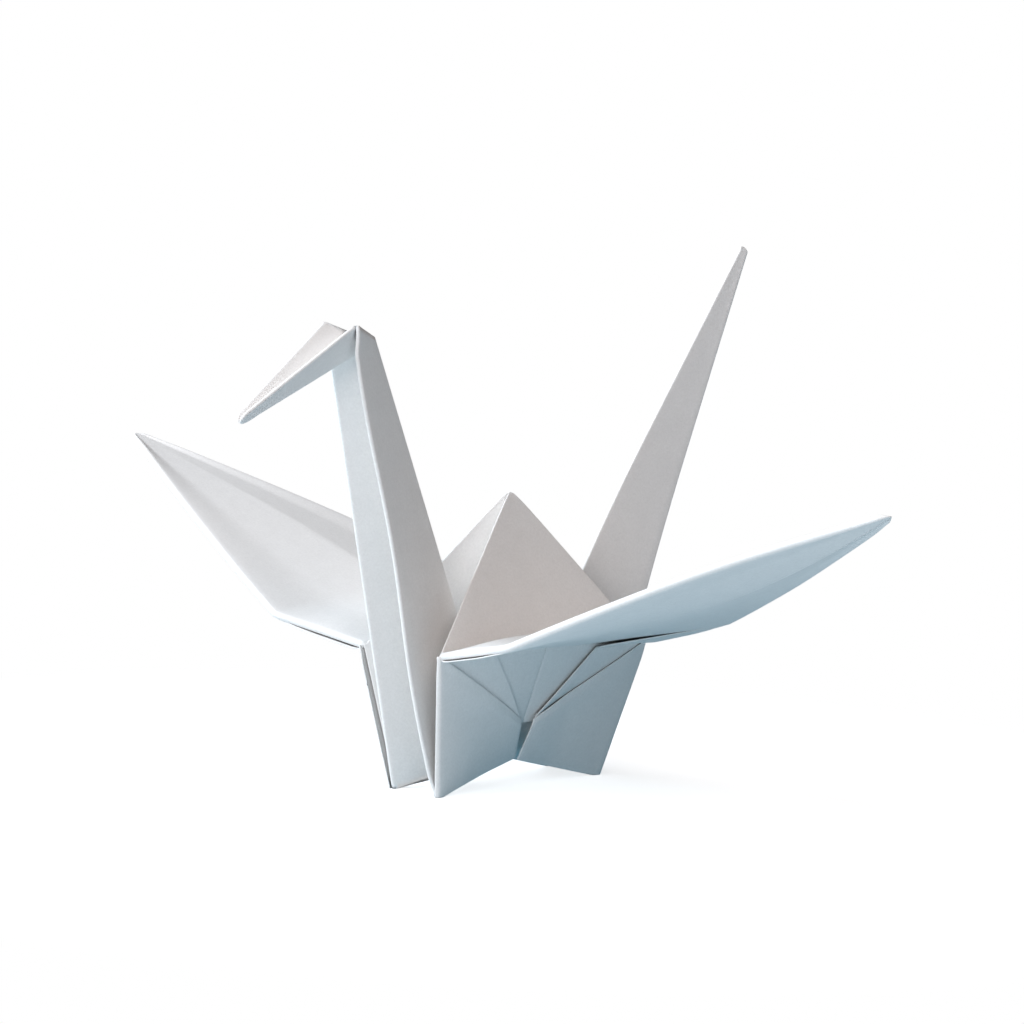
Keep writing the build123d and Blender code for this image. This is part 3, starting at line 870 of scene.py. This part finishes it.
def limb_loops(near, spine, far, thickness, steps, tip, nose_middle):
    """Closed outlines across a limb that is folded along its spine, one for each crease across it.

    Each outline runs down the outside of the near leg, round the spine, up the far leg, round its edge,
    down the inside to where the inner layers end, across the bare valley, and back up the near leg. The
    outside is leg + out * (half + swell * exp(-(distance to the edge / width)^2)). The root is closed at
    the mean of the first outline, and past the last crease the outline shrinks as cos(b) while it moves
    on to the tip as sin(b), which makes the limb's rounded point.
    """
    near_length = np.linalg.norm(near - spine, axis=-1, keepdims=True)
    far_length = np.linalg.norm(far - spine, axis=-1, keepdims=True)
    near_way = unit(near - spine)
    far_way = unit(far - spine)
    closeness = np.sum(near_way * far_way, axis=-1, keepdims=True)
    half_angle = np.arccos(closeness) / 2
    near_out = -unit(far_way - near_way * closeness)
    far_out = -unit(near_way - far_way * closeness)
    shorter = np.minimum(near_length, far_length)
    half = np.minimum(thickness / 2, HALF_LIMIT * shorter * np.sin(half_angle))
    bare = np.maximum(np.minimum(FLAP_GAP, BARE_LIMIT * shorter), BARE_LEAST * half / np.tan(half_angle))

    def on_leg(way, length, out, from_spine, face):
        """A point of one leg at a share of its length from the spine, on its outside (1) or inside (-1)."""
        swell = EDGE_SWELL * np.exp(-((((1 - from_spine) * length) / SWELL_WIDTH) ** 2))
        return spine + way * length * from_spine + out * face * (half + swell)

    near_bare = bare / near_length
    far_bare = bare / far_length
    shares = np.linspace(0, 1, steps) ** OUTER_POWER
    inner = np.linspace(0, 1, steps) ** INNER_POWER
    rim = np.linspace(0, pi, EDGE_STEPS)[1:-1]
    edge = half + EDGE_SWELL
    columns = [on_leg(near_way, near_length, near_out, 1 - share, 1) for share in shares]
    for share in np.linspace(0, 1, SPINE_STEPS)[1:-1]:
        columns.append(spine + turned(near_out, far_out, share) * half)
    columns += [on_leg(far_way, far_length, far_out, 1 - share, 1) for share in shares[::-1]]
    columns += [far + (far_out * cos(a) + far_way * sin(a)) * edge for a in rim]
    columns += [on_leg(far_way, far_length, far_out, 1 - (1 - far_bare) * share, -1) for share in inner]
    columns.append(spine + far_way * (bare - VALLEY_INSET) - far_out * VALLEY_DEPTH)
    columns.append(spine + unit(near_way + far_way) * VALLEY_DEPTH / np.sin(half_angle))
    columns.append(spine + near_way * (bare - VALLEY_INSET) - near_out * VALLEY_DEPTH)
    for share in inner[::-1]:
        columns.append(on_leg(near_way, near_length, near_out, 1 - (1 - near_bare) * share, -1))
    columns += [near + (near_way * sin(a) - near_out * cos(a)) * edge for a in rim]
    loops = np.stack(columns, axis=1)
    middle = mixed(spine[-1], (near[-1] + far[-1]) / 2, nose_middle)
    turns = np.linspace(0, pi / 2, NOSE_STEPS)[1:]
    nose = [middle + (loops[-1] - middle) * cos(turn) + (tip - middle) * sin(turn) for turn in turns]
    root = np.broadcast_to(loops[0].mean(axis=0), loops[0].shape)
    return np.concatenate([root[None], loops, np.array(nose)])


# Operators


class CraneOperator(bpy.types.Operator):
    """Base of the crane's operators"""

    bl_options = {"REGISTER", "UNDO"}

    def sizes(self, context):
        """The corners, the paper's thickness in millimetres and the steps across a panel."""
        settings = context.scene.crane_sizes
        return Corners(settings.sheet_side), settings.paper / MM, settings.panel_steps


class CRANE_OT_hump(CraneOperator):
    """Fold the body's walls and the hump above them"""

    bl_idname = "crane.hump"
    bl_label = "Body and hump"

    def execute(self, context):
        corners, paper, _ = self.sizes(context)
        add_piece("hump", hump_loops(corners, paper))
        return {"FINISHED"}


class CRANE_OT_wings(CraneOperator):
    """Fold the two wings and the part of each that lies on the body"""

    bl_idname = "crane.wings"
    bl_label = "Wings"

    def execute(self, context):
        corners, paper, steps = self.sizes(context)
        for side_way, name, wing in ((-1, "near_wing", NEAR_WING), (1, "far_wing", FAR_WING)):
            side = SideMap(corners, side_way, wing)
            add_sheet(name, wing_mid(side, steps), paper)
        return {"FINISHED"}


class CRANE_OT_flaps(CraneOperator):
    """Fold the flaps over the body's sides and under the wing roots"""

    bl_idname = "crane.flaps"
    bl_label = "Flaps and upright folds"

    def execute(self, context):
        corners, paper, steps = self.sizes(context)
        lift = context.scene.crane_sizes.flap_lift / MM
        for side_way, side_name, wing in ((-1, "near", NEAR_WING), (1, "far", FAR_WING)):
            side = SideMap(corners, side_way, wing)
            for half, half_name in ((-1, "front"), (1, "rear")):
                own_lift = lift if half > 0 else lift * FRONT_LIFT_SHARE
                name = f"{side_name}_{half_name}"
                mid = body_flap_mid(side, half, own_lift, steps)
                add_sheet(f"{name}_body_flap", mid, BODY_FLAP_LAYERS * paper)
                mid = corner_flap_mid(side, half, own_lift, steps)
                add_sheet(f"{name}_corner_flap", mid, CORNER_FLAP_LAYERS * paper)
        return {"FINISHED"}


class CRANE_OT_limbs(CraneOperator):
    """Fold the neck, the head and the tail"""

    bl_idname = "crane.limbs"
    bl_label = "Neck, head and tail"

    def execute(self, context):
        corners, paper, steps = self.sizes(context)
        thickness = LIMB_LAYERS * paper
        self.add_neck(corners, thickness, steps // 2)
        self.add_head(corners, thickness, steps // 2)
        self.add_tail(corners, thickness, steps // 2)
        return {"FINISHED"}

    def add_neck(self, corners, thickness, steps):
        """The neck, whose near edge bellies out by belly + wave * cos(2 pi (t - top) / length)."""
        rows = np.linspace(0, 1, NECK_ROWS)
        ends = smooth(rows, 0, 0.05) * (1 - smooth(rows, 0.93, 1))
        wave = NECK_WAVE * np.cos(2 * pi * (rows - NECK_WAVE_TOP) / NECK_WAVE_LENGTH)
        belly = (NECK_BELLY + wave) * ends
        out = unit((corners.neck_edges[-1] + corners.neck_edges[1]) / 2 - corners.neck_top)
        near = mixed(corners.feet[-1, -1], corners.neck_edges[-1], rows) + out * belly[:, None]
        spine = mixed(corners.crotch[-1], corners.neck_top, rows)
        far_end = corners.neck_edges[1] - corners.neck_way * NECK_FAR_SHORT
        far = mixed(corners.feet[1, -1], far_end, rows)
        top = (spine[-1] + near[-1] + far[-1]) / 3 + corners.neck_way * NECK_CAP
        add_piece("neck", limb_loops(near, spine, far, thickness, steps, top, 0.5))

    def add_head(self, corners, thickness, steps):
        """The head, tucked between the neck's two legs and turned down along its own spine."""
        rows = np.linspace(0, 1, HEAD_ROWS)
        near_root = corners.neck_edges[-1] + point(*HEAD_NEAR_ROOT)
        far_root = corners.neck_edges[1] + point(*HEAD_FAR_ROOT)
        spine_root = corners.neck_top + point(*HEAD_SPINE_ROOT)
        spine_end = corners.beak - unit(corners.beak - spine_root) * BEAK_NOSE
        near_end = spine_end + unit(near_root - spine_root) * BEAK_WIDTH
        far_end = spine_end + unit(far_root - spine_root) * BEAK_WIDTH
        near = mixed(near_root, near_end, rows)
        spine = mixed(spine_root, spine_end, rows)
        far = mixed(far_root, far_end, rows)
        loops = limb_loops(near, spine, far, thickness, steps, corners.beak, 0.2)
        add_piece("head", loops)

    def add_tail(self, corners, thickness, steps):
        """The tail: its lower part bows towards the hump, its upper part runs straight to the tip."""
        rows = np.linspace(0, 1, TAIL_ROWS)
        forward = unit(corners.tail_tip - corners.crotch[1])
        spine_end = corners.tail_tip - forward * TAIL_NOSE
        bow = unit(corners.crotch[1] - (corners.feet[-1, 1] + corners.feet[1, 1]) / 2)
        bow = bow * (smooth(rows, 0, TAIL_BOW_TOP) * (1 - rows) / (1 - TAIL_BOW_TOP))[:, None]
        spine = mixed(corners.crotch[1], spine_end, rows) + bow * TAIL_SPINE_BOW
        near_end = spine_end + unit(corners.feet[-1, 1] - corners.crotch[1]) * TAIL_WIDTH
        far_end = spine_end + unit(corners.feet[1, 1] - corners.crotch[1]) * TAIL_WIDTH
        near = mixed(corners.feet[-1, 1], near_end, rows) + bow * TAIL_EDGE_BOW
        far = mixed(corners.feet[1, 1], far_end, rows) + bow * TAIL_EDGE_BOW
        loops = limb_loops(near, spine, far, thickness, steps, corners.tail_tip, 0.4)
        add_piece("tail", loops)


class CRANE_OT_stage(bpy.types.Operator):
    """Set the pale floor, the soft studio light and the camera"""

    bl_idname = "crane.stage"
    bl_label = "Floor, light and camera"

    azimuth = radians(-47.87)
    elevation = radians(3.71)
    roll = radians(2.85)
    distance = 0.3
    look_at = Vector((0.00034, -0.00017, 0.03211))
    lens = 89.15
    lamp_size = 0.5
    lamp_distance = 0.8
    lamp_middle = Vector((0, 0, 0.03))

    # Each lamp's name, direction from the crane, watts and colour
    lamps = (
        ("window", (-0.7, 0.3, 0.65), 5.7, "e8f5ff"),
        ("far_window", (-0.4, 0.8, 0.4), 3.95, "f2f7ff"),
        ("room", (-0.25, -0.6, 0.75), 1.9, "ffefe9"),
        ("low_room", (-0.95, -0.3, 0.12), 3.0, "fff2ef"),
    )

    def execute(self, context):
        scene = context.scene
        self.add_floor(scene)
        self.add_lights(scene)
        self.add_camera(scene)
        scene.view_settings.view_transform = "Standard"
        return {"FINISHED"}

    def add_floor(self, scene):
        """A large flat floor."""
        half = 3.0
        outline = [(-half, -half, 0), (half, -half, 0), (half, half, 0), (-half, half, 0)]
        mesh = bpy.data.meshes.new("floor")
        mesh.from_pydata(outline, [], [(0, 1, 2, 3)])
        floor = bpy.data.objects.new("floor", mesh)
        mesh.materials.append(pale_floor())
        scene.collection.objects.link(floor)

    def add_lights(self, scene):
        """Four large soft lamps, all from the head's side, and a white world that only the camera sees."""
        for name, way, watts, colour in self.lamps:
            self.add_area(scene, name, way, watts, hex_colour(colour))
        world = bpy.data.worlds.new("studio")
        tree = cleared_tree(world)
        seen = add_node(tree, "ShaderNodeLightPath").outputs["Is Camera Ray"]
        white = add_node(tree, "ShaderNodeBackground", {"Color": (*WHITE, 1), "Strength": 1.0})
        shader = add_node(tree, "ShaderNodeMixShader", links={"Fac": seen, 2: white.outputs["Background"]})
        add_node(tree, "ShaderNodeOutputWorld", links={"Surface": shader.outputs["Shader"]})
        scene.world = world

    def add_area(self, scene, name, way, watts, colour):
        """A square area lamp that points at the middle of the crane from a given direction."""
        lamp = bpy.data.lights.new(name, "AREA")
        lamp.shape = "SQUARE"
        lamp.size = self.lamp_size
        lamp.energy = watts
        lamp.color = colour
        holder = bpy.data.objects.new(name, lamp)
        holder.location = self.lamp_middle + Vector(way).normalized() * self.lamp_distance
        holder.rotation_euler = (self.lamp_middle - holder.location).to_track_quat("-Z", "Y").to_euler()
        scene.collection.objects.link(holder)

    def add_camera(self, scene):
        """The photograph's camera: an azimuth and elevation about the look-at point, then a small roll."""
        out = cos(self.elevation)
        back = Vector((sin(self.azimuth) * out, -cos(self.azimuth) * out, sin(self.elevation)))
        level = Vector((cos(self.azimuth), sin(self.azimuth), 0))
        upright = back.cross(level)
        right = level * cos(self.roll) + upright * sin(self.roll)
        up = back.cross(right)
        camera = bpy.data.cameras.new("camera")
        camera.lens = self.lens
        camera.sensor_width = 36
        camera.clip_start = 0.01
        camera.clip_end = 20
        holder = bpy.data.objects.new("camera", camera)
        turn = Matrix((right, up, back)).transposed().to_4x4()
        holder.matrix_world = Matrix.Translation(self.look_at + back * self.distance) @ turn
        scene.collection.objects.link(holder)
        scene.camera = holder


class CRANE_PT_panel(bpy.types.Panel):
    """Lists the crane's sizes, colours and pieces"""

    bl_idname = "CRANE_PT_panel"
    bl_label = "Paper Crane"
    bl_space_type = "VIEW_3D"
    bl_region_type = "UI"
    bl_category = "Paper Crane"

    def draw(self, context):
        layout = self.layout
        for group in (context.scene.crane_sizes, context.scene.crane_colours):
            for name in group.__annotations__:
                layout.prop(group, name)
        for operator in PIECES:
            layout.operator(operator.bl_idname)


PIECES = (CRANE_OT_hump, CRANE_OT_wings, CRANE_OT_flaps, CRANE_OT_limbs, CRANE_OT_stage)
CLASSES = (CraneSizes, CraneColours, *PIECES, CRANE_PT_panel)


def register():
    for item in CLASSES:
        bpy.utils.register_class(item)
    bpy.types.Scene.crane_sizes = PointerProperty(type=CraneSizes)
    bpy.types.Scene.crane_colours = PointerProperty(type=CraneColours)


def unregister():
    del bpy.types.Scene.crane_colours
    del bpy.types.Scene.crane_sizes
    for item in reversed(CLASSES):
        bpy.utils.unregister_class(item)


def main():
    """Builds every piece."""
    register()
    bpy.ops.crane.hump()
    bpy.ops.crane.wings()
    bpy.ops.crane.flaps()
    bpy.ops.crane.limbs()
    bpy.ops.crane.stage()


if __name__ == "__main__":
    main()
